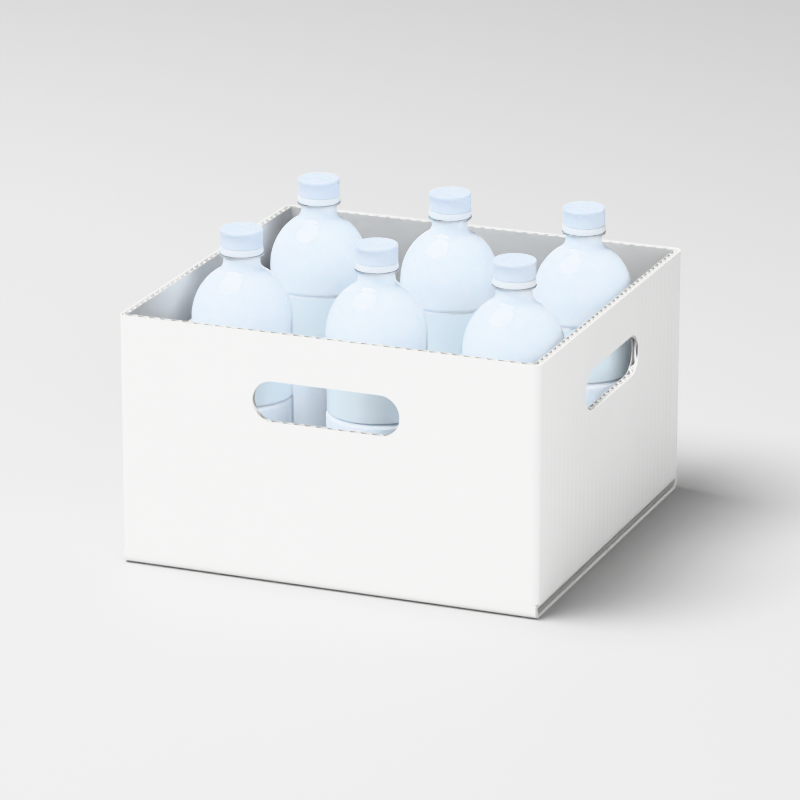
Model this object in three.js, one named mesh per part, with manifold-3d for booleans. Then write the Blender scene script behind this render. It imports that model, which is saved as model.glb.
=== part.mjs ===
// An open-topped card carton with a hand hole in each wall, holding six capped plastic
// drink bottles in two rows of three. Millimetres, +Z up, the carton's front faces -Y.
// The origin is the middle of the carton's underside.
import * as THREE from 'three';
import { mergeVertices } from 'three/addons/utils/BufferGeometryUtils.js';
import Module from 'manifold-3d';

// Carton: a half-slotted box folded from one sheet of corrugated board
const CARTON_WIDTH = 312;
const CARTON_DEPTH = 300;
const CARTON_HEIGHT = 183;
const BOARD = 5;
const FLOOR = 2 * BOARD; // two layers of flaps
const FOLD_RADIUS = 5.5;
const FLAP_INSET = 2; // the lower flaps' ends sit inside the side walls' faces
const SEAM_WIDTH = 1.2; // between the two lower flaps
const TAB_WIDTH = 34; // the glued joint, inside the front wall at its left end
const TAB_THICKNESS = 2.5;
const TAB_BELOW_RIM = 8;
const HOLE_LENGTH = 110;
const HOLE_HEIGHT = 30;
const HOLE_BELOW_RIM = 49.5; // to the hole's middle

// Bottles: where they stand, and the main sizes of one
const COLUMN_PITCH = 103;
const FRONT_ROW_Y = -56;
const BACK_ROW_Y = 85;
const BOTTLE_HEIGHT = 216; // foot to the cap's top
const BODY_RADIUS = 36;
const NECK_RADIUS = 13;
const CAP_RADIUS = 15;
const WALL = 1;

// Heights down from the cap's top
const CAP_SKIRT = 12.6;
const BAND_END = 17.3;
const RING_END = 19.1;
const NECK_FILLET = 24.1; // level of the fillet's centre
const DOME_MIDDLE = 66; // where the dome reaches the full radius
const LABEL_TOP = 82;
const LABEL_END = 121.5;

// Radii, walls and steps of one bottle
const NECK_FILLET_RADIUS = 7.7;
const DOME_HEIGHT = 39.9;
const FINISH_RADIUS = 12.6;
const BORE_RADIUS = 10.9;
const RING_RADIUS = 15.7;
const CAP_TOP = 1.8;
const CAP_WALL = 1.6;
const CAP_EDGE = 1;
const PANEL_RADIUS = 35;
const LABEL_THICKNESS = 0.4;
const GROOVE_RADIUS = 34.3;
const GROOVE_WIDTH = 3;
const FOOT_RADIUS = 27;
const HEEL_HEIGHT = 9;
const PUSH_UP = 4;
const FILL_LEVEL = 18.3; // the drink's surface, level with the neck's support ring
const GAP = 0.3; // kept between pieces that touch

// How finely the curves are faceted
const TURN_SEGMENTS = 20;
const FOLD_SEGMENTS = 4;
const HOLE_SEGMENTS = 7;
const DOME_STEPS = 5;
const INNER_DOME_STEPS = 2;
const FILLET_STEPS = 2;

const CARD = { color: 0xfbfbfa, roughness: 0.85, metalness: 0 };
const PET = { color: 0xebf2fc, roughness: 0.12, metalness: 0, transparent: true, opacity: 0.4 };
const DRINK = { color: 0xe6effb, roughness: 0.3, metalness: 0 };
const LABEL = { color: 0xd4e6f4, roughness: 0.4, metalness: 0 };
const CAP = { color: 0xd8e6f6, roughness: 0.45, metalness: 0 };
const BAND = { color: 0xf0f5fb, roughness: 0.45, metalness: 0 };

const wasm = await Module();
wasm.setup();

// Solids

function solid(geometry) {
  const bare = geometry.index ? geometry.toNonIndexed() : geometry.clone();
  bare.deleteAttribute('normal');
  bare.deleteAttribute('uv');
  const merged = mergeVertices(bare, 1e-4);
  return new wasm.Manifold(
    new wasm.Mesh({
      numProp: 3,
      vertProperties: new Float32Array(merged.attributes.position.array),
      triVerts: new Uint32Array(merged.index.array),
    }),
  );
}

function geometryOf(manifold) {
  const mesh = manifold.getMesh();
  const geometry = new THREE.BufferGeometry();
  geometry.setAttribute('position', new THREE.BufferAttribute(mesh.vertProperties, 3));
  geometry.setIndex(new THREE.BufferAttribute(mesh.triVerts, 1));
  const flat = geometry.toNonIndexed();
  flat.computeVertexNormals();
  return flat;
}

// A shape drawn in X and Y, pushed up from z = low to z = high
function prismZ(shape, low, high) {
  const options = { depth: high - low, bevelEnabled: false, curveSegments: FOLD_SEGMENTS };
  return new THREE.ExtrudeGeometry(shape, options).translate(0, 0, low);
}

// A shape drawn in X and Z, run along Y over the length, with its middle at y = 0
function prismY(shape, length, curveSegments = FOLD_SEGMENTS) {
  const options = { depth: length, bevelEnabled: false, curveSegments };
  const geometry = new THREE.ExtrudeGeometry(shape, options).translate(0, 0, -length / 2);
  return geometry.rotateX(Math.PI / 2);
}

// A shape drawn in Y and Z, run along X over the length, with its middle at x = 0
function prismX(shape, length, curveSegments = FOLD_SEGMENTS) {
  return prismY(shape, length, curveSegments).rotateZ(Math.PI / 2);
}

function block(low, high) {
  const size = high.map((value, axis) => value - low[axis]);
  const middle = high.map((value, axis) => (value + low[axis]) / 2);
  return solid(new THREE.BoxGeometry(...size).translate(...middle));
}

// A solid of revolution about +Z from [radius, height] pairs that run up its outside
function turned(profile) {
  const points = profile.map(([radius, height]) => new THREE.Vector2(radius, height));
  return new THREE.LatheGeometry(points, TURN_SEGMENTS).rotateX(Math.PI / 2);
}

function part(name, geometry, look) {
  const mesh = new THREE.Mesh(geometry, new THREE.MeshStandardMaterial(look));
  mesh.name = name;
  return mesh;
}

// Shapes

function roundedRectangle(width, height, radius) {
  const [x, y] = [width / 2, height / 2];
  const shape = new THREE.Shape();
  shape.absarc(x - radius, y - radius, radius, 0, Math.PI / 2);
  shape.absarc(-x + radius, y - radius, radius, Math.PI / 2, Math.PI);
  shape.absarc(-x + radius, -y + radius, radius, Math.PI, 1.5 * Math.PI);
  shape.absarc(x - radius, -y + radius, radius, 1.5 * Math.PI, 2 * Math.PI);
  shape.closePath();
  return shape;
}

// An upright face whose two lower edges are folds of the board
function foldedFace(width, low, high, radius) {
  const x = width / 2;
  const shape = new THREE.Shape();
  shape.moveTo(x, high);
  shape.lineTo(-x, high);
  shape.absarc(-x + radius, low + radius, radius, Math.PI, 1.5 * Math.PI);
  shape.absarc(x - radius, low + radius, radius, 1.5 * Math.PI, 2 * Math.PI);
  shape.closePath();
  return shape;
}

function handHole() {
  const radius = HOLE_HEIGHT / 2;
  const x = HOLE_LENGTH / 2 - radius;
  const z = CARTON_HEIGHT - HOLE_BELOW_RIM;
  const shape = new THREE.Shape();
  shape.absarc(x, z, radius, -Math.PI / 2, Math.PI / 2);
  shape.absarc(-x, z, radius, Math.PI / 2, 1.5 * Math.PI);
  shape.closePath();
  return shape;
}

// Carton

// The whole block: the front and back walls fold under at the ground and carry the two
// lower flaps, and the side walls fold in one board higher, above the lower flaps' ends.
function cartonBlock() {
  const plan = roundedRectangle(CARTON_WIDTH, CARTON_DEPTH, FOLD_RADIUS);
  const fromSide = foldedFace(CARTON_DEPTH, 0, CARTON_HEIGHT, FOLD_RADIUS);
  const upper = foldedFace(CARTON_WIDTH, BOARD, CARTON_HEIGHT, FOLD_RADIUS);
  const lowerEnd = CARTON_WIDTH / 2 - FLAP_INSET;
  const fromFront = solid(prismY(upper, CARTON_DEPTH + 2)).add(
    block([-lowerEnd, -CARTON_DEPTH, 0], [lowerEnd, CARTON_DEPTH, FLOOR]),
  );
  return solid(prismZ(plan, 0, CARTON_HEIGHT))
    .intersect(solid(prismX(fromSide, CARTON_WIDTH + 2)))
    .intersect(fromFront);
}

function cartonInside() {
  const x = CARTON_WIDTH / 2 - BOARD;
  const y = CARTON_DEPTH / 2 - BOARD;
  const slot = (CARTON_WIDTH - CARTON_DEPTH) / 2; // the upper flaps are half the depth each
  const room = block([-x, -y, FLOOR], [x, y, CARTON_HEIGHT + 1]);
  return room.add(block([-slot, -y, BOARD], [slot, y, FLOOR + 1]));
}

function carton() {
  const insideX = CARTON_WIDTH / 2 - BOARD;
  const insideY = CARTON_DEPTH / 2 - BOARD;
  const seamY = SEAM_WIDTH / 2;
  const seam = block([-CARTON_WIDTH, -seamY, -1], [CARTON_WIDTH, seamY, BOARD]);
  const tab = block(
    [-insideX - 1, -insideY - 1, FLOOR - 1],
    [-insideX + TAB_WIDTH, -insideY + TAB_THICKNESS, CARTON_HEIGHT - TAB_BELOW_RIM],
  );
  const holes = solid(prismY(handHole(), CARTON_DEPTH + 2, HOLE_SEGMENTS)).add(
    solid(prismX(handHole(), CARTON_WIDTH + 2, HOLE_SEGMENTS)),
  );
  const shell = cartonBlock().subtract(cartonInside()).subtract(seam).add(tab);
  return part('carton', geometryOf(shell.subtract(holes)), CARD);
}

// Bottle

const up = (depth) => BOTTLE_HEIGHT - depth; // height above the foot

// The dome is a quarter of an ellipse. Inset moves it inwards for the bottle's inside.
function domePoint(angle, inset) {
  const radius = (BODY_RADIUS - inset) * Math.cos(angle);
  return [radius, up(DOME_MIDDLE) + (DOME_HEIGHT - inset) * Math.sin(angle)];
}

// The angle on the dome where the fillet to the neck meets it
function domeEnd() {
  const target = NECK_RADIUS + NECK_FILLET_RADIUS;
  let [low, high] = [0, Math.PI / 2];
  for (let step = 0; step < 40; step++) {
    const angle = (low + high) / 2;
    const slope = [Math.cos(angle) / BODY_RADIUS, Math.sin(angle) / DOME_HEIGHT];
    const across = (slope[0] / Math.hypot(...slope)) * NECK_FILLET_RADIUS;
    if (domePoint(angle, 0)[0] + across > target) low = angle;
    else high = angle;
  }
  return low;
}

function dome(steps, inset) {
  const end = domeEnd();
  return Array.from({ length: steps + 1 }, (_, i) => domePoint((end * i) / steps, inset));
}

// Points from the dome round to the neck's side, on the fillet's arc
function neckFillet() {
  const centre = [NECK_RADIUS + NECK_FILLET_RADIUS, up(NECK_FILLET)];
  const [radius, height] = domePoint(domeEnd(), 0);
  const start = Math.atan2(height - centre[1], radius - centre[0]);
  return Array.from({ length: FILLET_STEPS }, (_, i) => {
    const angle = start - ((start + Math.PI) * (i + 1)) / FILLET_STEPS;
    return [
      centre[0] + NECK_FILLET_RADIUS * Math.cos(angle),
      centre[1] + NECK_FILLET_RADIUS * Math.sin(angle),
    ];
  });
}

function bottleOutside() {
  const grooveAbove = [
    [PANEL_RADIUS, up(LABEL_TOP)],
    [GROOVE_RADIUS, up(LABEL_TOP - GROOVE_WIDTH / 3)],
    [BODY_RADIUS, up(LABEL_TOP - GROOVE_WIDTH)],
  ];
  const grooveBelow = [
    [BODY_RADIUS, up(LABEL_END + GROOVE_WIDTH)],
    [GROOVE_RADIUS, up(LABEL_END + GROOVE_WIDTH / 3)],
    [PANEL_RADIUS, up(LABEL_END)],
  ];
  return [
    [0, PUSH_UP],
    [FOOT_RADIUS, 0],
    [BODY_RADIUS - 3, HEEL_HEIGHT / 3],
    [BODY_RADIUS, HEEL_HEIGHT],
    ...grooveBelow,
    ...grooveAbove,
    ...dome(DOME_STEPS, 0),
    ...neckFillet(),
    [NECK_RADIUS, up(RING_END)],
    [RING_RADIUS, up(RING_END)],
    [RING_RADIUS, up(BAND_END + GAP)],
    [FINISH_RADIUS, up(BAND_END + GAP)],
    [FINISH_RADIUS, up(CAP_TOP + GAP)],
  ];
}

// The inside from the neck down to the foot. Gap moves it further in, for the drink.
function insideFrom(gap) {
  return [
    [BORE_RADIUS - gap, up(NECK_FILLET)],
    ...dome(INNER_DOME_STEPS, WALL + gap).reverse(),
    [GROOVE_RADIUS - WALL - gap, up(LABEL_TOP)],
    [GROOVE_RADIUS - WALL - gap, up(LABEL_END)],
    [BODY_RADIUS - WALL - gap, up(LABEL_END + 2 * GROOVE_WIDTH)],
    [BODY_RADIUS - WALL - gap, HEEL_HEIGHT],
    [FOOT_RADIUS, WALL + gap],
    [0, PUSH_UP + WALL + gap],
  ];
}

function bottleProfile() {
  return [...bottleOutside(), [BORE_RADIUS, up(CAP_TOP + GAP)], ...insideFrom(0)];
}

function drinkProfile() {
  return [
    ...insideFrom(GAP).reverse(),
    [BORE_RADIUS - GAP, up(FILL_LEVEL)],
    [0, up(FILL_LEVEL)],
  ];
}

function capProfile() {
  const inner = CAP_RADIUS - CAP_WALL;
  return [
    [0, up(CAP_TOP)],
    [inner, up(CAP_TOP)],
    [inner, up(CAP_SKIRT)],
    [CAP_RADIUS, up(CAP_SKIRT)],
    [CAP_RADIUS, up(CAP_EDGE)],
    [CAP_RADIUS - CAP_EDGE, up(0)],
    [0, up(0)],
  ];
}

function ringProfile(inner, outerTop, outerEnd, top, end) {
  return [
    [inner, up(end)],
    [outerEnd, up(end)],
    [outerTop, up(top)],
    [inner, up(top)],
    [inner, up(end)],
  ];
}

function bottle(place, x, y) {
  const labelInner = PANEL_RADIUS + GAP;
  const labelOuter = labelInner + LABEL_THICKNESS;
  const bandInner = FINISH_RADIUS + GAP;
  const bandTop = CAP_SKIRT + GAP;
  const pieces = new THREE.Group();
  pieces.position.set(x, y, FLOOR + GAP);
  const label = ringProfile(labelInner, labelOuter, labelOuter, LABEL_TOP + GAP, LABEL_END - GAP);
  const band = ringProfile(bandInner, CAP_RADIUS, RING_RADIUS - GAP, bandTop, BAND_END);
  pieces.add(part(`bottle_${place}`, turned(bottleProfile()), PET));
  pieces.add(part(`drink_${place}`, turned(drinkProfile()), DRINK));
  pieces.add(part(`label_${place}`, turned(label), LABEL));
  pieces.add(part(`band_${place}`, turned(band), BAND));
  pieces.add(part(`cap_${place}`, turned(capProfile()), CAP));
  return pieces;
}

const pack = new THREE.Group();
pack.add(carton());
for (const [row, y] of [['front', FRONT_ROW_Y], ['back', BACK_ROW_Y]]) {
  for (const [column, step] of [['left', -1], ['middle', 0], ['right', 1]]) {
    pack.add(bottle(`${row}_${column}`, step * COLUMN_PITCH, y));
  }
}

export default pack;
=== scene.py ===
"""The looks of an open card carton that holds capped plastic drink bottles.

Everything is in metres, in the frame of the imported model: +Z up, the carton's front faces -Y,
and the origin is the middle of the carton's underside.
"""

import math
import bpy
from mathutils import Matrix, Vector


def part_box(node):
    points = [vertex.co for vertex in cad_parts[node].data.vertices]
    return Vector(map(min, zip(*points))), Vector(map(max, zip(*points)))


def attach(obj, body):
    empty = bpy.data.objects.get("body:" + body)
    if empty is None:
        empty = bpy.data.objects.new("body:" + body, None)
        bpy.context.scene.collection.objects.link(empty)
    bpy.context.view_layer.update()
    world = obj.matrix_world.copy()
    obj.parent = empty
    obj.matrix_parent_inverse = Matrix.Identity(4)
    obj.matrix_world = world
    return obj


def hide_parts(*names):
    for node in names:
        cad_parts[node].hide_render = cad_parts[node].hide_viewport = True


bl_info = {
    "name": "Bottle Carton",
    "version": (1, 0, 0),
    "blender": (4, 5, 0),
    "location": "View3D > Sidebar > Bottle Carton",
    "description": "Dresses an open card carton and the capped plastic drink bottles in it",
    "category": "Add Mesh",
}

import bmesh
import bpy
from bpy.props import FloatProperty, FloatVectorProperty, IntProperty, PointerProperty
from mathutils import Matrix, Vector

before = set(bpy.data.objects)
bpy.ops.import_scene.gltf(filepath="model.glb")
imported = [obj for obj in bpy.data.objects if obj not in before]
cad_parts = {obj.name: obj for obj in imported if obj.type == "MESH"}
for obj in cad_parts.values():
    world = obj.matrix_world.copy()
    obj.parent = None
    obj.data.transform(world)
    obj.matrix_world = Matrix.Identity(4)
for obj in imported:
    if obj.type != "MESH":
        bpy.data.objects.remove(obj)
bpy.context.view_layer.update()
CARTON_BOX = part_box("carton")
PLACES = [f"{row}_{column}" for row in ("front", "back") for column in ("left", "middle", "right")]
TURNS = (20, 205, 118, 290, 64, 160)  # degrees that the bottle at each of the PLACES is turned by
MM = 0.001
WELD = 1e-6  # points nearer to each other than this are one
ARC_STEPS = 4  # facets of a rounded corner
FOLD_STEPS = 6  # facets of a fold of the board
HOLE_STEPS = 12  # facets of each quarter turn round a hand hole's ends
WAVE_STEPS = 8  # facets of one wave of the fluting
DOME_STEPS = 24  # facets of a dome, from its foot to the flare
FLARE_STEPS = 10  # facets of the flare from a dome to its neck
RIB_STEPS = 4  # facets of one grip rib of a cap
FLOOR_STEPS = 128  # facets round the floor
ANGLE_STEP = math.radians(0.02)  # steps in which the end of a dome is looked for
SOFT_FOLD = math.radians(50)  # sheets shade smoothly up to this angle between their faces
HARD_CORNER = math.radians(35)  # and all other pieces up to this one
LEAST_FOLD = 0.1  # least radius inside a fold, as a share of the board's thickness
LONG_EDGE = 10  # an edge of the plan that is longer than this many fold radii is a wall
LOWER_FLAP = 1.1  # flat faces up to this many thicknesses are mapped as the lower flaps are
TAB_SLANT = 1 / 3  # how far the ends of the glued joint slant, as a share of its width
TAB_EDGE = 0.25  # rounding of the joint's edges, as a share of its thickness
HOLLOW_WIDTH = 0.75  # radius of the hollow under a foot, as a share of the foot's radius
HOLLOW_EDGE = 0.2  # rounding at the top of that hollow, as a share of the foot's radius
FOOT_EDGE = 0.06  # rounding of the ring that a bottle stands on, as the same share
HEEL_EDGE = 0.8  # rounding of a bottle's heel, as a share of its width outside the foot
LABEL_LAYER = 1.5  # films from the panel to a label, and from there to its lapped end
WIDE_BAND = 1 / 3  # share of a tamper band's height that is as wide as its lower end
CAP_RIM = 3  # moulded edges from the rounding of a cap's top to the rim's inner side
CAP_STEP = 5  # and from that rounding to the foot of the step down into the dish
SENSOR_WIDTH = 36  # of the camera, in millimetres
CLIP_END = 50  # how far the camera sees, in metres


# Settings


def length(name, description, millimetres):
    """A size that a user can change, kept in metres."""
    return FloatProperty(
        name=name, description=description, default=millimetres * MM, unit="LENGTH", precision=5
    )


def angle(name, description, degrees):
    """An angle that a user can change, kept in radians."""
    return FloatProperty(
        name=name, description=description, default=math.radians(degrees), subtype="ANGLE"
    )


def colour(name, description, value):
    """A linear colour that a user can change."""
    return FloatVectorProperty(
        name=name, description=description, default=value, subtype="COLOR", size=3, min=0, max=1
    )


def watts(name, description, value):
    """A lamp's power that a user can change."""
    return FloatProperty(name=name, description=description, default=value, unit="POWER", min=0)


class BoardSettings(bpy.types.PropertyGroup):
    """The corrugated board of the carton and the cuts in it."""

    thickness: length("Board", "Thickness of the corrugated board", 5)
    liner: length("Liner", "Thickness of each of the board's two outer papers", 0.45)
    flute_paper: length("Fluting paper", "Thickness of the wavy paper between the liners", 0.3)
    flute_pitch: length("Flute pitch", "Distance from one wave of the board to the next", 8.4)
    fold_radius: length("Fold radius", "Outer radius of the carton's folds", 5.5)
    hole_length: length("Hole length", "Length of a hand hole", 110)
    hole_height: length("Hole height", "Height of a hand hole", 30)
    hole_below_rim: length("Hole below rim", "From the rim down to a hand hole's middle", 49.5)
    flap_inset: length("Flap inset", "From a side wall's face in to the lower flaps' ends", 1)
    seam: length("Seam", "Gap between the two lower flaps", 1.2)
    tab_width: length("Joint width", "Width of the glued joint inside the front wall", 34)
    tab_thickness: length("Joint thickness", "Thickness of the pressed board of the joint", 2.5)
    tab_below_rim: length("Joint below rim", "From the rim down to the joint's top", 8)
    outer_colour: colour("Outside", "Colour of the coated outer liner", (0.9, 0.9, 0.895))
    # the inside colour is the plain liner's greyer paper, darkened further with painted shade for
    # the inside of the box
    inner_colour_and_shade: colour("Inside", "Colour of the plain inner liner", (0.455, 0.455, 0.45))
    flute_colour: colour("Fluting", "Colour of the wavy paper", (0.82, 0.815, 0.8))


class BottleSettings(bpy.types.PropertyGroup):
    """One bottle and its drink. A depth is measured down from the cap's top."""

    body_radius: length("Body radius", "Radius of the body", 36)
    neck_radius: length("Neck radius", "Radius of the neck below the support ring", 13)
    finish_radius: length("Finish radius", "Radius of the mouth under the cap", 12.6)
    bore_radius: length("Bore radius", "Inner radius of the neck", 10.9)
    ring_radius: length("Ring radius", "Radius of the support ring", 15.7)
    ring_edge: length("Ring edge", "Rounding of the support ring and the mouth", 0.35)
    ring_top: length("Ring top", "Depth of the support ring's top", 17.6)
    ring_end: length("Ring end", "Depth of the support ring's underside", 19.1)
    mouth_depth: length("Mouth", "Depth of the mouth under the cap", 2.1)
    neck_flare: length("Neck flare", "Radius of the flare from the dome to the neck", 7.7)
    dome_depth: length("Dome depth", "Depth where the dome reaches the full radius", 66)
    dome_height: length("Dome height", "Height that the dome would have without its neck", 39.9)
    label_top: length("Label top", "Depth of the label panel's top", 82)
    label_end: length("Label end", "Depth of the label panel's lower end", 121.5)
    panel_radius: length("Panel radius", "Radius of the panel that the label is on", 35)
    groove_radius: length("Groove radius", "Radius of the two grooves that bound the panel", 34.3)
    groove_width: length("Groove width", "From the panel's end to the full body", 3)
    foot_radius: length("Foot radius", "Radius of the ring that the bottle stands on", 28.5)
    push_up: length("Push-up", "Height of the hollow under the foot", 5)
    wall: length("Wall", "Thickness of the blown wall", 0.8)
    fill_depth: length("Fill depth", "Depth of the drink's surface", 18.3)
    meniscus: length("Meniscus", "How far the drink climbs at the wall", 1.2)
    tint: colour("Plastic", "Tint of the clear plastic", (0.98, 0.99, 1.0))
    drink_colour: colour("Drink", "Colour of the cloudy drink", (0.82, 0.875, 0.955))
    segments: IntProperty(
        name="Segments", description="Facets round a bottle", default=96, min=24, max=160
    )


class TrimSettings(bpy.types.PropertyGroup):
    """Labels, tamper bands and caps."""

    film: length("Film", "Thickness of a label's film", 0.12)
    lap: angle("Lap", "Angle over which a label's ends lie on each other", 11)
    lap_rise: angle("Lap rise", "Angle over which the outer end climbs over the inner one", 3)
    clearance: length("Clearance", "Gap between a tamper band and the neck", 0.3)
    band_flare: length("Band flare", "How far a tamper band stands out at its lower end", 0.3)
    bridges: IntProperty(
        name="Bridges", description="Bridges from a band to its cap", default=12, min=0, max=40
    )
    bridge_width: length("Bridge width", "Width of one bridge", 0.8)
    ribs: IntProperty(
        name="Ribs", description="Grip ribs round a cap", default=80, min=24, max=160
    )
    rib_depth: length("Rib depth", "Depth of the grooves between the grip ribs", 0.5)
    rib_start: length("Rib start", "From the cap's top down to its ribs", 2.4)
    rib_end: length("Rib end", "From the cap's lower edge up to its ribs", 1.6)
    cap_edge: length("Cap edge", "Rounding of the cap's upper edge", 1.2)
    cap_wall: length("Cap wall", "Thickness of the cap's side", 1.6)
    cap_top: length("Cap top", "Thickness of the cap's top", 1.8)
    dish: length("Dish", "How far the cap's top is sunk inside its edge", 0.3)
    mark_radius: length("Mark", "Radius of the moulding mark on the cap's top", 0.7)
    moulded_edge: length("Moulded edge", "Rounding of the small moulded edges", 0.3)
    label_colour: colour("Label", "Colour of the plain label", (0.825, 0.93, 1.0))
    band_colour: colour("Band", "Colour of the tamper band", (0.84, 0.89, 0.94))
    cap_colour: colour("Cap", "Colour of the screw cap", (0.735, 0.825, 0.94))


class StageSettings(bpy.types.PropertyGroup):
    """The camera, the lamps and the floor."""

    azimuth: angle("Azimuth", "Where the camera stands, turned from the front to the right", 21.9)
    elevation: angle("Elevation", "How far the camera looks down", 18.3)
    distance: length("Distance", "From the camera to its target", 3527)
    lens: FloatProperty(name="Lens", description="Focal length", default=221.5, unit="CAMERA")
    target_height: length("Target height", "Height that the camera looks at", 92)
    shift_right: length("Shift right", "Moves the target along the picture's width", -4.6)
    shift_up: length("Shift up", "Moves the target along the picture's height", 1.9)
    floor_radius: length("Floor radius", "Radius of the round floor", 12000)
    floor_colour: colour("Floor", "Colour of the floor", (0.4, 0.4, 0.4))
    key_azimuth: angle("Key azimuth", "Where the lamp at the left stands", -60)
    key_elevation: angle("Key elevation", "How high the lamp at the left stands", 65)
    key_power: watts("Key", "Power of the lamp at the left", 385)
    side_azimuth: angle("Side azimuth", "Where the lamp at the right stands", 45)
    side_elevation: angle("Side elevation", "How high the lamp at the right stands", 25)
    side_power: watts("Side", "Power of the lamp at the right", 98)
    lamp_distance: length("Lamp distance", "From a lamp to the camera's target", 4000)
    lamp_size: length("Lamp size", "Diameter of each round lamp", 3200)
    sky: FloatProperty(name="Sky", description="Strength of the light from all round", default=0.3)


SETTINGS = {
    "carton_board": BoardSettings,
    "carton_bottle": BottleSettings,
    "carton_trim": TrimSettings,
    "carton_stage": StageSettings,
}


# Materials

# The mix node's inputs and its output for colours, which share their names with those for numbers
MIX_FACTOR, MIX_FIRST, MIX_SECOND, MIX_RESULT = 0, 6, 7, 2


def principled(material):
    """The material's one shader."""
    return material.node_tree.nodes["Principled BSDF"]


def new_material(name, base, roughness, constants):
    """A material with one Principled shader and plain values on its sockets."""
    material = bpy.data.materials.new(name)
    material.use_nodes = True
    sockets = principled(material).inputs
    sockets["Base Color"].default_value = (*base, 1)
    sockets["Roughness"].default_value = roughness
    for socket, value in constants.items():
        sockets[socket].default_value = value
    return material


def node(material, kind, inputs=None, **properties):
    """Adds a node to a material, sets its properties, and sets or links its inputs."""
    made = material.node_tree.nodes.new(kind)
    for name, value in properties.items():
        setattr(made, name, value)
    for socket, value in (inputs or {}).items():
        if isinstance(value, bpy.types.NodeSocket):
            material.node_tree.links.new(value, made.inputs[socket])
        else:
            made.inputs[socket].default_value = value
    return made


def grain(material, size, detail=4, stretch=(1, 1, 1)):
    """A noise from 0 to 1 on the piece's own coordinates, with features of that size in metres."""
    place = node(material, "ShaderNodeTexCoord")
    mapping = node(
        material, "ShaderNodeMapping", {"Vector": place.outputs["Object"], "Scale": stretch}
    )
    made = node(
        material,
        "ShaderNodeTexNoise",
        {"Vector": mapping.outputs["Vector"], "Scale": 1 / size, "Detail": detail},
    )
    return made.outputs["Fac"]


def flute_wave(material, pitch):
    """A wave from 0 to 1 across the flutes, on the board's own map in metres."""
    place = node(material, "ShaderNodeTexCoord")
    split = node(material, "ShaderNodeSeparateXYZ", {"Vector": place.outputs["UV"]})
    turned = node(
        material,
        "ShaderNodeMath",
        {0: split.outputs["X"], 1: math.tau / pitch},
        operation="MULTIPLY",
    )
    cosine = node(material, "ShaderNodeMath", {0: turned.outputs["Value"]}, operation="COSINE")
    half = node(
        material,
        "ShaderNodeMath",
        {0: cosine.outputs["Value"], 1: 0.5, 2: 0.5},
        operation="MULTIPLY_ADD",
    )
    return half.outputs["Value"]


def vary_colour(material, value, darkest):
    """Shades the base colour from darkest times itself up to itself, by a value from 0 to 1."""
    socket = principled(material).inputs["Base Color"]
    base = tuple(socket.default_value)
    dark = (*[channel * darkest for channel in base[:3]], 1)
    sockets = {MIX_FACTOR: value, MIX_FIRST: dark, MIX_SECOND: base}
    mix = node(material, "ShaderNodeMix", sockets, data_type="RGBA")
    material.node_tree.links.new(mix.outputs[MIX_RESULT], socket)


def vary_roughness(material, value, low, high):
    """Carries the roughness from low to high, by a value from 0 to 1."""
    spread = node(material, "ShaderNodeMapRange", {"Value": value, "To Min": low, "To Max": high})
    material.node_tree.links.new(spread.outputs["Result"], principled(material).inputs["Roughness"])


def add_relief(material, value, depth):
    """Adds relief of that depth in metres over the relief that the material already has."""
    socket = principled(material).inputs["Normal"]
    bump = node(material, "ShaderNodeBump", {"Height": value, "Distance": depth})
    if socket.is_linked:
        material.node_tree.links.new(socket.links[0].from_socket, bump.inputs["Normal"])
    material.node_tree.links.new(bump.outputs["Normal"], socket)


def liner_material(name, base, roughness, pitch, fibre):
    """Liner paper, with faint clouds, the flutes that show through it and its fibres."""
    material = new_material(name, base, roughness, {"Specular IOR Level": 0.3})
    clouds = grain(material, size=35 * MM, detail=6)
    sheen = grain(material, size=15 * MM)
    fibres = grain(material, size=0.7 * MM, detail=3, stretch=(1, 1, 0.4))
    vary_colour(material, clouds, darkest=0.96)
    vary_roughness(material, sheen, low=roughness - 0.08, high=roughness + 0.1)
    add_relief(material, flute_wave(material, pitch), depth=0.08 * MM)
    add_relief(material, fibres, depth=fibre)
    return material


def flute_material(name, base):
    """The bare wavy paper between the liners, coarse and matt."""
    material = new_material(name, base, roughness=0.9, constants={"Specular IOR Level": 0.2})
    vary_colour(material, grain(material, size=1.2 * MM, detail=3), darkest=0.88)
    add_relief(material, grain(material, size=0.6 * MM, detail=2), depth=0.06 * MM)
    return material


def clear_material(name, tint):
    """Clear blown plastic, glossy, with the slight waves that blowing leaves."""
    constants = {"Transmission Weight": 1, "IOR": 1.57}
    material = new_material(name, tint, roughness=0.09, constants=constants)
    waves = grain(material, size=22 * MM, detail=2, stretch=(1, 1, 0.4))
    add_relief(material, waves, depth=0.3 * MM)
    return material


def drink_material(name, base):
    """A cloudy drink, in which light spreads and the cloud is a little uneven."""
    constants = {
        "Subsurface Weight": 1,
        "Subsurface Radius": (0.8, 0.95, 1),
        "Subsurface Scale": 6 * MM,
        "Specular IOR Level": 0.1,
    }
    material = new_material(name, base, roughness=0.35, constants=constants)
    vary_colour(material, grain(material, size=40 * MM, detail=3), darkest=0.96)
    return material


def film_material(name, base):
    """Plain film, half gloss, with slight puckers round the bottle."""
    constants = {"Coat Weight": 0.25, "Coat Roughness": 0.12}
    material = new_material(name, base, roughness=0.32, constants=constants)
    puckers = grain(material, size=18 * MM, detail=2, stretch=(1, 1, 0.3))
    vary_colour(material, grain(material, size=5 * MM, detail=3), darkest=0.975)
    vary_roughness(material, grain(material, size=12 * MM), low=0.26, high=0.4)
    add_relief(material, puckers, depth=0.25 * MM)
    return material


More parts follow.
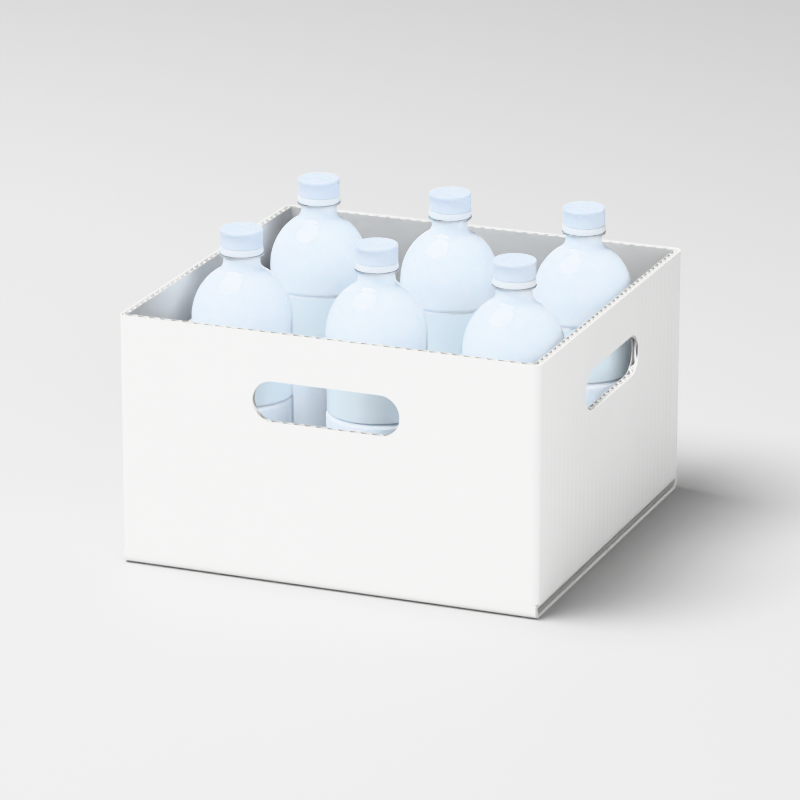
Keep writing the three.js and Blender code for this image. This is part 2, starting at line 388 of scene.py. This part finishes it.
def moulded_material(name, base, roughness):
    """The moulded plastic of caps and bands, half gloss, with a fine grain and slight mottling."""
    constants = {"Subsurface Weight": 0.1, "Subsurface Scale": 1 * MM}
    material = new_material(name, base, roughness, constants)
    sheen = grain(material, size=2.5 * MM)
    vary_colour(material, grain(material, size=7 * MM, detail=3), darkest=0.97)
    vary_roughness(material, sheen, low=roughness - 0.06, high=roughness + 0.08)
    add_relief(material, grain(material, size=0.4 * MM, detail=2), depth=0.02 * MM)
    return material


# Pieces


def verts_of(geometry):
    """The vertices among the geometry that an operator returns."""
    return [item for item in geometry if isinstance(item, bmesh.types.BMVert)]


def edges_of(geometry):
    """The edges among the geometry that an operator returns."""
    return [item for item in geometry if isinstance(item, bmesh.types.BMEdge)]


def chain(points, closed=False):
    """A bmesh that holds one chain of edges through the points."""
    bm = bmesh.new()
    verts = [bm.verts.new(point) for point in points]
    for pair in zip(verts, verts[1:] + verts[:1] if closed else verts[1:]):
        bm.edges.new(pair)
    return bm


def round_corners(bm, verts, offset, steps):
    """Rounds the corners at those vertices of a flat outline, from that far on either side."""
    bmesh.ops.bevel(
        bm, geom=verts, affect="VERTICES", offset=offset, segments=steps, profile=0.5, material=-1
    )


def outline(corners, closed=False):
    """A chain in the XZ plane through (radius, height, rounding) corners.

    The rounding is how far from the corner its arc starts, and 0 keeps the corner sharp.
    """
    bm = chain([(radius, 0, height) for radius, height, _ in corners], closed)
    for vert, (_, _, rounding) in zip(bm.verts[:], corners):
        if rounding:
            round_corners(bm, [vert], rounding, ARC_STEPS)
    return bm


def turn_round(bm, segments):
    """Spins an outline into a closed solid of revolution about Z."""
    bmesh.ops.spin(
        bm,
        geom=bm.verts[:] + bm.edges[:],
        cent=(0, 0, 0),
        axis=(0, 0, 1),
        angle=math.tau,
        steps=segments,
        use_merge=True,
    )
    bmesh.ops.remove_doubles(bm, verts=bm.verts, dist=WELD)
    bmesh.ops.recalc_face_normals(bm, faces=bm.faces)
    return bm


def extend(bm, edges, vector):
    """Extrudes edges by a vector and returns the new edges at the far end."""
    made = bmesh.ops.extrude_edge_only(bm, edges=edges)["geom"]
    bmesh.ops.translate(bm, vec=vector, verts=verts_of(made))
    return edges_of(made)


def fold(bm, edges, centre, axis):
    """Swings edges through a quarter turn and returns the edges at the far end."""
    made = bmesh.ops.spin(
        bm, geom=edges, cent=centre, axis=axis, angle=math.pi / 2, steps=FOLD_STEPS
    )
    return edges_of(made["geom_last"])


def face_away(bm):
    """Makes a sheet's faces agree and turns its upright ones away from the Z axis."""
    bmesh.ops.recalc_face_normals(bm, faces=bm.faces)
    if sum(face.normal.xy.dot(face.calc_center_median().xy) for face in bm.faces) < 0:
        bmesh.ops.reverse_faces(bm, faces=bm.faces)


def shade_smooth(bm, sharpest):
    """Smooth shading, with a hard edge wherever two faces meet at more than that angle."""
    for face in bm.faces:
        face.smooth = True
    for edge in bm.edges:
        edge.smooth = len(edge.link_faces) == 2 and edge.calc_face_angle(0) < sharpest


def join_in(bm, other):
    """Moves the geometry of another bmesh into this one."""
    mesh = bpy.data.meshes.new("joined")
    other.to_mesh(mesh)
    other.free()
    bm.from_mesh(mesh)
    bpy.data.meshes.remove(mesh)


def new_object(bm, name):
    """Puts a bmesh into the scene as an object."""
    mesh = bpy.data.meshes.new(name)
    bm.to_mesh(mesh)
    bm.free()
    made = bpy.data.objects.new(name, mesh)
    bpy.context.scene.collection.objects.link(made)
    return made


def new_piece(bm, name, material, node_name):
    """Makes a piece of the bmesh that stands for the CAD node and rides on its body."""
    piece = new_object(bm, name)
    piece.data.materials.append(material)
    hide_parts(node_name)
    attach(piece, "root")
    return piece


def apply_modifiers(piece):
    """Keeps what a piece's modifiers make of it as its mesh."""
    graph = bpy.context.evaluated_depsgraph_get()
    mesh = bpy.data.meshes.new_from_object(piece.evaluated_get(graph))
    piece.modifiers.clear()
    piece.data = mesh


def stand_at(bm, place, turn=0.0):
    """Turns a piece made about Z and moves it onto the axis of the bottle at that place."""
    low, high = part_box(f"bottle_{place}")
    bmesh.ops.rotate(bm, verts=bm.verts, cent=(0, 0, 0), matrix=Matrix.Rotation(turn, 3, "Z"))
    bmesh.ops.translate(bm, verts=bm.verts, vec=((low.x + high.x) / 2, (low.y + high.y) / 2, 0))


# Carton


def rounded_rectangle(width, depth, radius, steps):
    """A flat face about the origin with rounded corners."""
    bm = bmesh.new()
    bmesh.ops.create_grid(bm, x_segments=1, y_segments=1, size=0.5)
    bmesh.ops.scale(bm, vec=(width, depth, 1), verts=bm.verts)
    round_corners(bm, bm.verts[:], radius, steps)
    return bm


def wall_loop(board, depth):
    """The plan of the carton's walls as a closed chain, at a depth into the board."""
    low, high = CARTON_BOX
    size = high - low
    radius = max(board.fold_radius - depth, LEAST_FOLD * board.thickness)
    bm = rounded_rectangle(size.x - 2 * depth, size.y - 2 * depth, radius, FOLD_STEPS)
    bmesh.ops.delete(bm, geom=bm.faces[:], context="FACES_ONLY")
    return bm


def long_edges(board, bm):
    """The straight edges of a plan, each with the axis that it crosses and its side of it."""
    for edge in [e for e in bm.edges if e.calc_length() > LONG_EDGE * board.fold_radius]:
        middle = (edge.verts[0].co + edge.verts[1].co) / 2
        axis = 0 if abs(middle.x) > abs(middle.y) else 1
        yield edge, axis, math.copysign(1, middle[axis])


def fold_under(board, bm, edge, axis, side):
    """Folds a wall's lower edge under the base and returns the edges at the end of the fold.

    The front and back walls fold under at the ground. The side walls fold one board higher,
    over the lower flaps, which are nearly as long as the carton is wide.
    """
    high = CARTON_BOX[1]
    radius = board.fold_radius
    upper = radius + board.thickness
    if axis == 0:
        return fold(bm, [edge], (side * (high.x - radius), 0, upper), (0, side, 0))
    shoulder = extend(bm, [edge], (0, 0, -board.liner))
    for vert in shoulder[0].verts:
        vert.co.x = math.copysign(high.x - board.flap_inset, vert.co.x)
    straight = extend(bm, shoulder, (0, 0, radius - upper + board.liner))
    return fold(bm, straight, (0, side * (high.y - radius), radius), (-side, 0, 0))


def liner_sheet(board, depth):
    """One face of the whole folded board: four walls, two lower flaps and two upper flaps."""
    high = CARTON_BOX[1]
    bottom = board.fold_radius + board.thickness
    bm = wall_loop(board, depth)
    bmesh.ops.translate(bm, vec=(0, 0, bottom), verts=bm.verts)
    panels = list(long_edges(board, bm))
    extend(bm, bm.edges[:], (0, 0, high.z - bottom))
    for edge, axis, side in panels:
        turned = fold_under(board, bm, edge, axis, side)
        run = Vector((0, 0, 0))
        run[axis] = -side * (high.y - board.fold_radius - axis * board.seam / 2)
        extend(bm, turned, run)
    return bm


def pressed_folds(board):
    """The crushed middle of the board in the four folds round the base."""
    bm = wall_loop(board, board.thickness / 2)
    bmesh.ops.translate(bm, vec=(0, 0, board.fold_radius + board.thickness), verts=bm.verts)
    for edge, axis, side in list(long_edges(board, bm)):
        fold_under(board, bm, edge, axis, side)
    corners = [edge for edge in bm.edges if not edge.link_faces]
    bmesh.ops.delete(bm, geom=corners, context="EDGES")
    face_away(bm)
    return bm


def map_board(bm, board):
    """Maps the walls and flaps in metres, with U across the flutes."""
    layer = bm.loops.layers.uv.new("across_flutes")
    for face in bm.faces:
        x, y, z = (abs(value) for value in face.normal)
        flap = z > max(x, y)
        lower = face.calc_center_median().z < board.thickness * LOWER_FLAP
        along_x = lower if flap else y > x
        for loop in face.loops:
            place = loop.vert.co
            loop[layer].uv = (place.x if along_x else place.y, place.z)


def wave(board, along, span):
    """How far the fluting lies from the board's middle, with whole waves over its span."""
    reach = board.thickness / 2 - board.liner - board.flute_paper / 2
    count = round(span / board.flute_pitch)
    return reach * math.sin(math.tau * count * (along / span + 0.5))


def fluting_walls(board):
    """The wavy paper inside the four walls."""
    bm = wall_loop(board, board.thickness / 2)
    for edge, axis, side in list(long_edges(board, bm)):
        across = 1 - axis
        span = edge.calc_length()
        cuts = round(span / board.flute_pitch) * WAVE_STEPS - 1
        made = bmesh.ops.subdivide_edges(bm, edges=[edge], cuts=cuts)["geom_inner"]
        for vert in verts_of(made):
            vert.co[axis] += side * wave(board, vert.co[across], span)
    bottom = board.fold_radius + board.thickness
    bmesh.ops.translate(bm, vec=(0, 0, bottom), verts=bm.verts)
    extend(bm, bm.edges[:], (0, 0, CARTON_BOX[1].z - bottom))
    return bm


def fluting_flap(board, width, start, end, height, axis):
    """The wavy paper of one flat flap that runs along an axis from start to end."""
    across = 1 - axis
    count = round(width / board.flute_pitch) * WAVE_STEPS
    points = []
    for i in range(count + 1):
        along = width * (i / count - 0.5)
        point = Vector((0, 0, height + wave(board, along, width)))
        point[across] = along
        point[axis] = start
        points.append(point)
    bm = chain(points)
    run = Vector((0, 0, 0))
    run[axis] = end - start
    extend(bm, bm.edges[:], run)
    return bm


def fluting_sheet(board):
    """The wavy paper of the walls and of the four flaps under them."""
    low, high = CARTON_BOX
    bm = fluting_walls(board)
    lower = low.z + board.thickness / 2
    width = high.x - low.x - 2 * board.flap_inset
    depth = high.y - low.y - 2 * board.fold_radius
    for side in (-1, 1):
        ends = (side * board.seam / 2, side * (high.y - board.fold_radius))
        join_in(bm, fluting_flap(board, width, *ends, lower, axis=1))
        ends = (side * (high.x - high.y), side * (high.x - board.fold_radius))
        join_in(bm, fluting_flap(board, depth, *ends, lower + board.thickness, axis=0))
    return bm


def hole_bar(board, axis):
    """A bar with the hand hole's outline that runs through two opposite walls."""
    high = CARTON_BOX[1]
    run = 2 * high.x
    end_radius = board.hole_height / 2 - WELD  # the sliver that this leaves is welded shut
    bm = rounded_rectangle(board.hole_length, board.hole_height, end_radius, HOLE_STEPS)
    grown = bmesh.ops.extrude_face_region(bm, geom=bm.faces[:])["geom"]
    bmesh.ops.translate(bm, vec=(0, 0, run), verts=verts_of(grown))
    bmesh.ops.translate(bm, vec=(0, 0, -run / 2), verts=bm.verts)
    bmesh.ops.remove_doubles(bm, verts=bm.verts, dist=2 * WELD)
    upright = Matrix.Rotation(math.pi / 2, 3, "X")
    if axis == 0:
        upright = Matrix.Rotation(math.pi / 2, 3, "Z") @ upright
    bmesh.ops.rotate(bm, verts=bm.verts, cent=(0, 0, 0), matrix=upright)
    bmesh.ops.translate(bm, vec=(0, 0, high.z - board.hole_below_rim), verts=bm.verts)
    bmesh.ops.recalc_face_normals(bm, faces=bm.faces)
    return new_object(bm, f"hole_bar_{axis}")


def cut_and_thicken(piece, bars, thickness, offset):
    """Gives a sheet of paper its thickness, cuts the hand holes through it and shades it."""
    paper = piece.modifiers.new("paper", "SOLIDIFY")
    paper.thickness = thickness
    paper.offset = offset
    paper.use_even_offset = True
    for bar in bars:
        cut = piece.modifiers.new(bar.name, "BOOLEAN")
        cut.operation = "DIFFERENCE"
        cut.solver = "EXACT"
        cut.use_self = True
        cut.object = bar
    apply_modifiers(piece)
    bm = bmesh.new()
    bm.from_mesh(piece.data)
    shade_smooth(bm, SOFT_FOLD)
    bm.to_mesh(piece.data)
    bm.free()


def joint_tab(board):
    """The pressed board of the glued joint, with slanted ends, inside the front wall's left end."""
    low, high = CARTON_BOX
    inside = low + Vector((board.thickness, board.thickness, 2 * board.thickness))
    tall = high.z - board.tab_below_rim - inside.z
    size = Vector((board.tab_width, board.tab_thickness, tall))
    bm = bmesh.new()
    bmesh.ops.create_cube(bm, size=1)
    bmesh.ops.scale(bm, vec=size, verts=bm.verts)
    bmesh.ops.translate(bm, vec=inside + size / 2, verts=bm.verts)
    slant = TAB_SLANT * board.tab_width
    for vert in bm.verts:
        if vert.co.x > inside.x + size.x / 2:
            vert.co.z += -slant if vert.co.z > high.z / 2 else slant
    bmesh.ops.bevel(
        bm,
        geom=bm.edges[:],
        affect="EDGES",
        offset=TAB_EDGE * board.tab_thickness,
        segments=2,
        profile=0.5,
        material=-1,
    )
    return bm


class CARTON_OT_board(bpy.types.Operator):
    """Builds the carton: two liners, the fluting between them, the pressed folds and the joint"""

    bl_idname = "bottle_carton.board"
    bl_label = "Carton"

    def execute(self, context):
        board = context.scene.carton_board
        pitch = board.flute_pitch
        outside = liner_material(
            "coated_liner", board.outer_colour, roughness=0.5, pitch=pitch, fibre=0.03 * MM
        )
        # the inside liner carries painted shade: its colour is darker than the paper alone, for the
        # shade inside the box, and the joint tab uses it too
        inside = liner_material(
            "plain_liner_and_shade", board.inner_colour_and_shade, roughness=0.75, pitch=pitch, fibre=0.06 * MM
        )
        wavy = flute_material("fluting_paper", board.flute_colour)
        bars = [hole_bar(board, axis) for axis in (0, 1)]

        bm = liner_sheet(board, 0)
        face_away(bm)
        map_board(bm, board)
        outer = new_piece(bm, "carton_outer_liner", outside, "carton")
        cut_and_thicken(outer, bars, board.liner, offset=-1)

        bm = liner_sheet(board, board.thickness)
        face_away(bm)
        bmesh.ops.reverse_faces(bm, faces=bm.faces)
        map_board(bm, board)
        inner = new_piece(bm, "carton_inner_liner", inside, "carton")
        cut_and_thicken(inner, bars, board.liner, offset=-1)

        fluting = new_piece(fluting_sheet(board), "carton_fluting", wavy, "carton")
        cut_and_thicken(fluting, bars, board.flute_paper, offset=0)

        folds = new_piece(pressed_folds(board), "carton_pressed_folds", wavy, "carton")
        pressed = board.thickness - 2 * board.liner - board.flute_paper
        cut_and_thicken(folds, [], pressed, offset=0)

        bm = joint_tab(board)
        map_board(bm, board)
        shade_smooth(bm, SOFT_FOLD)
        new_piece(bm, "carton_joint_tab", inside, "carton")
        for bar in bars:
            bpy.data.objects.remove(bar)
        return {"FINISHED"}


# Bottles


def body_corners(bottle, foot, top, inset):
    """A bottle's body from under its foot up to the dome, moved in from its outside by inset."""
    body = bottle.body_radius - inset
    panel = bottle.panel_radius - inset
    groove = bottle.groove_radius - inset
    upper = top - bottle.label_top
    lower = top - bottle.label_end
    wide = bottle.groove_width
    third = wide / 3
    ring = bottle.foot_radius
    floor = foot + inset
    return [
        (0, floor + bottle.push_up, 0),
        (HOLLOW_WIDTH * ring, floor + bottle.push_up, HOLLOW_EDGE * ring),
        (ring, floor, FOOT_EDGE * ring),
        (body, floor, HEEL_EDGE * (bottle.body_radius - ring)),
        (body, lower - wide, third),
        (groove, lower - third, third / 2),
        (panel, lower, third / 3),
        (panel, upper, third / 3),
        (groove, upper + third, third / 2),
        (body, upper + wide, third),
    ]


def dome_corners(bottle, top, inset):
    """The dome and the flare from it to the neck, moved in from the outside by inset."""
    width = bottle.body_radius
    height = bottle.dome_height
    flare = bottle.neck_flare
    base = top - bottle.dome_depth

    def beside_dome(tilt, distance):
        point = Vector((width * math.cos(tilt), base + height * math.sin(tilt)))
        out = Vector((math.cos(tilt) / width, math.sin(tilt) / height)).normalized()
        return point + out * distance

    end = 0
    while beside_dome(end, flare).x > bottle.neck_radius + flare:
        end += ANGLE_STEP
    centre = beside_dome(end, flare)
    points = [beside_dome(end * i / DOME_STEPS, -inset) for i in range(DOME_STEPS + 1)]
    start = (beside_dome(end, 0) - centre).angle_signed(Vector((-1, 0)))
    for i in range(1, FLARE_STEPS + 1):
        tilt = math.pi + start * (1 - i / FLARE_STEPS)
        points.append(centre + Vector((math.cos(tilt), math.sin(tilt))) * (flare + inset))
    return [(*point, 0) for point in points]


def shell_corners(bottle, foot, top, inset):
    """A bottle from the middle of its foot up to its neck, moved in from its outside by inset."""
    return body_corners(bottle, foot, top, inset) + dome_corners(bottle, top, inset)


def finish_corners(bottle, top):
    """The neck from its support ring up to the mouth and back down its bore."""
    ring_top = top - bottle.ring_top
    ring_end = top - bottle.ring_end
    mouth = top - bottle.mouth_depth
    edge = bottle.ring_edge
    return [
        (bottle.neck_radius, ring_end, edge),
        (bottle.ring_radius, ring_end, edge),
        (bottle.ring_radius, ring_top, edge),
        (bottle.finish_radius, ring_top, 0),
        (bottle.finish_radius, mouth, edge),
        (bottle.bore_radius, mouth, edge),
        (bottle.bore_radius, ring_end - edge, 0),
    ]


class CARTON_OT_bottles(bpy.types.Operator):
    """Builds the clear bottles"""

    bl_idname = "bottle_carton.bottles"
    bl_label = "Bottles"

    def execute(self, context):
        bottle = context.scene.carton_bottle
        material = clear_material("clear_plastic", bottle.tint)
        for place, turn in zip(PLACES, TURNS):
            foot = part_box(f"bottle_{place}")[0].z
            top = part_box(f"cap_{place}")[1].z
            outside = shell_corners(bottle, foot, top, 0)
            inside = shell_corners(bottle, foot, top, bottle.wall)
            bm = outline(outside + finish_corners(bottle, top) + inside[::-1])
            turn_round(bm, bottle.segments)
            shade_smooth(bm, HARD_CORNER)
            stand_at(bm, place, math.radians(turn))
            piece = new_piece(
                bm, f"clear_bottle_{place}", material, f"bottle_{place}"
            )
            piece.visible_shadow = False  # so that light reaches what is in the thin plastic
        return {"FINISHED"}


class CARTON_OT_drinks(bpy.types.Operator):
    """Builds the cloudy drink in each bottle, which reaches halfway into the bottle's wall"""

    bl_idname = "bottle_carton.drinks"
    bl_label = "Drinks"

    def execute(self, context):
        bottle = context.scene.carton_bottle
        material = drink_material("cloudy_drink", bottle.drink_colour)
        into_wall = bottle.wall / 2
        for place in PLACES:
            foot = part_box(f"bottle_{place}")[0].z
            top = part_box(f"cap_{place}")[1].z
            level = top - bottle.fill_depth
            edge = bottle.bore_radius + into_wall
            body = shell_corners(bottle, foot, top, into_wall)
            surface = [
                (edge, top - bottle.ring_end, 0),
                (edge, level + bottle.meniscus, 0),
                (edge - bottle.meniscus, level, bottle.meniscus / 2),
                (0, level, 0),
            ]
            bm = turn_round(outline(body + surface), bottle.segments)
            shade_smooth(bm, HARD_CORNER)
            stand_at(bm, place)
            new_piece(bm, f"cloudy_drink_{place}", material, f"drink_{place}")
        return {"FINISHED"}


# Labels, tamper bands and caps


class CARTON_OT_labels(bpy.types.Operator):
    """Builds the plain labels, each one strip of film lapped over its own end"""

    bl_idname = "bottle_carton.labels"
    bl_label = "Labels"

    def execute(self, context):
        trim = context.scene.carton_trim
        bottle = context.scene.carton_bottle
        material = film_material("label_film", trim.label_colour)
        reach = math.tau + trim.lap
        count = round(bottle.segments * reach / math.tau)
        for place, turn in zip(PLACES, TURNS):
            low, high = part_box(f"label_{place}")
            points = []
            for i in range(count + 1):
                bearing = reach * i / count
                lift = min(max((bearing - math.tau) / trim.lap_rise + 1, 0), 1)
                radius = bottle.panel_radius + LABEL_LAYER * trim.film * (1 + lift)
                points.append((radius * math.cos(bearing), radius * math.sin(bearing), low.z))
            bm = chain(points)
            extend(bm, bm.edges[:], (0, 0, high.z - low.z))
            face_away(bm)
            bmesh.ops.solidify(bm, geom=bm.faces[:], thickness=trim.film)
            shade_smooth(bm, HARD_CORNER)
            stand_at(bm, place, math.radians(turn))
            new_piece(bm, f"label_wrap_{place}", material, f"label_{place}")
        return {"FINISHED"}


def band_corners(inner, outer_top, outer_end, low, high, edge):
    """A tamper band's section, a little wider at its lower end."""
    return [
        (inner, low, edge),
        (outer_end, low, edge),
        (outer_end, low + (high - low) * WIDE_BAND, edge),
        (outer_top, high, edge),
        (inner, high, edge),
    ]


class CARTON_OT_bands(bpy.types.Operator):
    """Builds the tamper bands with the small bridges that tie them to the caps"""

    bl_idname = "bottle_carton.bands"
    bl_label = "Tamper bands"

    def execute(self, context):
        trim = context.scene.carton_trim
        bottle = context.scene.carton_bottle
        material = moulded_material("band_plastic", trim.band_colour, roughness=0.4)
        inner = bottle.finish_radius + trim.clearance
        for place, turn in zip(PLACES, TURNS):
            low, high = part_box(f"band_{place}")
            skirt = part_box(f"cap_{place}")[0].z
            outer = (high.x - low.x) / 2
            narrow = outer - trim.band_flare
            corners = band_corners(inner, narrow, outer, low.z, high.z, trim.moulded_edge)
            bm = turn_round(outline(corners, closed=True), bottle.segments)
            for i in range(trim.bridges):
                verts = bmesh.ops.create_cube(bm, size=1)["verts"]
                size = (trim.bridge_width, trim.bridge_width, 2 * (skirt - high.z))
                bmesh.ops.scale(bm, vec=size, verts=verts)
                middle = ((inner + narrow) / 2, 0, (skirt + high.z) / 2)
                bmesh.ops.translate(bm, vec=middle, verts=verts)
                step = Matrix.Rotation(math.tau * i / trim.bridges, 3, "Z")
                bmesh.ops.rotate(bm, verts=verts, cent=(0, 0, 0), matrix=step)
            shade_smooth(bm, HARD_CORNER)
            stand_at(bm, place, math.radians(turn))
            new_piece(bm, f"tamper_band_{place}", material, f"band_{place}")
        return {"FINISHED"}


def cap_corners(trim, low, high, radius):
    """A cap's section from the mark in the middle of its top round to under that top."""
    inner = radius - trim.cap_wall
    ceiling = high - trim.cap_top
    dish = high - trim.dish
    mark = trim.mark_radius
    edge = trim.moulded_edge
    rounded = radius - trim.cap_edge
    return [
        (0, dish + trim.dish / 2, 0),
        (mark, dish + trim.dish / 2, edge / 2),
        (mark + edge, dish, edge / 2),
        (rounded - CAP_STEP * edge, dish, edge),
        (rounded - CAP_RIM * edge, high, edge),
        (radius, high, trim.cap_edge),
        (radius, high - trim.rib_start, 0),
        (radius, high - trim.rib_start - trim.rib_depth, 0),
        (radius, low + trim.rib_end + trim.rib_depth, 0),
        (radius, low + trim.rib_end, 0),
        (radius, low, edge),
        (inner, low, edge),
        (inner, ceiling, edge),
        (0, ceiling, 0),
    ]


def sink_ribs(bm, trim, low, high, radius):
    """Sinks the grooves between the grip ribs into the side of a cap."""
    for vert in bm.verts:
        ribbed = low + trim.rib_end < vert.co.z - WELD and vert.co.z + WELD < high - trim.rib_start
        if ribbed and vert.co.xy.length > radius - WELD:
            bearing = math.atan2(vert.co.y, vert.co.x)
            depth = trim.rib_depth * (0.5 - 0.5 * math.cos(trim.ribs * bearing))
            vert.co.xy *= 1 - depth / radius


class CARTON_OT_caps(bpy.types.Operator):
    """Builds the ribbed screw caps"""

    bl_idname = "bottle_carton.caps"
    bl_label = "Caps"

    def execute(self, context):
        trim = context.scene.carton_trim
        material = moulded_material("cap_plastic", trim.cap_colour, roughness=0.38)
        for place, turn in zip(PLACES, TURNS):
            low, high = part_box(f"cap_{place}")
            radius = (high.x - low.x) / 2
            bm = outline(cap_corners(trim, low.z, high.z, radius))
            turn_round(bm, trim.ribs * RIB_STEPS)
            sink_ribs(bm, trim, low.z, high.z, radius)
            shade_smooth(bm, HARD_CORNER)
            stand_at(bm, place, math.radians(2 * turn))
            new_piece(bm, f"screw_cap_{place}", material, f"cap_{place}")
        return {"FINISHED"}


# Stage


def direction(azimuth, elevation):
    """The direction from the target to what stands at that azimuth and elevation."""
    level = math.cos(elevation)
    return Vector((math.sin(azimuth) * level, -math.cos(azimuth) * level, math.sin(elevation)))


def look_back(made, aim, back, distance):
    """Puts a lamp or a camera into the scene, back from its aim and looking at it."""
    made.location = aim + back * distance
    made.rotation_mode = "QUATERNION"
    made.rotation_quaternion = back.to_track_quat("Z", "Y")
    bpy.context.scene.collection.objects.link(made)


def add_lamp(stage, name, back, energy, target):
    """A round soft lamp that looks at the target from that direction."""
    lamp = bpy.data.lights.new(name, "AREA")
    lamp.shape = "DISK"
    lamp.size = stage.lamp_size
    lamp.energy = energy
    made = bpy.data.objects.new(name, lamp)
    made.visible_camera = False
    look_back(made, target, back, stage.lamp_distance)
    return made


class CARTON_OT_stage(bpy.types.Operator):
    """Makes the floor, the lamps, the even sky and the camera"""

    bl_idname = "bottle_carton.stage"
    bl_label = "Stage"

    def execute(self, context):
        stage = context.scene.carton_stage
        scene = context.scene
        bm = bmesh.new()
        bmesh.ops.create_circle(bm, cap_ends=True, segments=FLOOR_STEPS, radius=stage.floor_radius)
        mesh = bpy.data.meshes.new("floor")
        bm.to_mesh(mesh)
        bm.free()
        paint = new_material("floor_paint", stage.floor_colour, roughness=0.7, constants={})
        mesh.materials.append(paint)
        floor = bpy.data.objects.new("floor", mesh)
        scene.collection.objects.link(floor)

        world = bpy.data.worlds.new("even_sky")
        world.use_nodes = True
        background = world.node_tree.nodes["Background"]
        background.inputs["Color"].default_value = (1, 1, 1, 1)
        background.inputs["Strength"].default_value = stage.sky
        scene.world = world

        target = Vector((0, 0, stage.target_height))
        key = direction(stage.key_azimuth, stage.key_elevation)
        side = direction(stage.side_azimuth, stage.side_elevation)
        add_lamp(stage, "key_lamp", key, stage.key_power, target)
        fill = add_lamp(stage, "side_lamp", side, stage.side_power, target)
        fill.visible_glossy = False  # so that gloss shows the key lamp alone

        back = direction(stage.azimuth, stage.elevation)
        right = Vector((math.cos(stage.azimuth), math.sin(stage.azimuth), 0))
        aim = target + right * stage.shift_right + back.cross(right) * stage.shift_up
        data = bpy.data.cameras.new("camera")
        data.lens = stage.lens
        data.sensor_width = SENSOR_WIDTH
        data.clip_end = CLIP_END
        camera = bpy.data.objects.new("camera", data)
        look_back(camera, aim, back, stage.distance)
        scene.camera = camera
        scene.view_settings.view_transform = "Khronos PBR Neutral"
        return {"FINISHED"}


OPERATORS = (
    CARTON_OT_stage,
    CARTON_OT_board,
    CARTON_OT_bottles,
    CARTON_OT_drinks,
    CARTON_OT_labels,
    CARTON_OT_bands,
    CARTON_OT_caps,
)


class CARTON_PT_panel(bpy.types.Panel):
    """Lists the settings and the operators"""

    bl_label = "Bottle Carton"
    bl_idname = "CARTON_PT_panel"
    bl_space_type = "VIEW_3D"
    bl_region_type = "UI"
    bl_category = "Bottle Carton"

    def draw(self, context):
        for key, group in SETTINGS.items():
            box = self.layout.box()
            for name in group.__annotations__:
                box.prop(getattr(context.scene, key), name)
        for operator in OPERATORS:
            self.layout.operator(operator.bl_idname)


def register():
    """Registers the settings, the operators and the panel."""
    for group in SETTINGS.values():
        bpy.utils.register_class(group)
    for operator in OPERATORS:
        bpy.utils.register_class(operator)
    bpy.utils.register_class(CARTON_PT_panel)
    for key, group in SETTINGS.items():
        setattr(bpy.types.Scene, key, PointerProperty(type=group))


def unregister():
    """Undoes what register does."""
    for key in SETTINGS:
        delattr(bpy.types.Scene, key)
    bpy.utils.unregister_class(CARTON_PT_panel)
    for operator in reversed(OPERATORS):
        bpy.utils.unregister_class(operator)
    for group in reversed(SETTINGS.values()):
        bpy.utils.unregister_class(group)


def main():
    """Builds everything."""
    register()
    bpy.ops.bottle_carton.stage()
    bpy.ops.bottle_carton.board()
    bpy.ops.bottle_carton.bottles()
    bpy.ops.bottle_carton.drinks()
    bpy.ops.bottle_carton.labels()
    bpy.ops.bottle_carton.bands()
    bpy.ops.bottle_carton.caps()


if __name__ == "__main__":
    main()
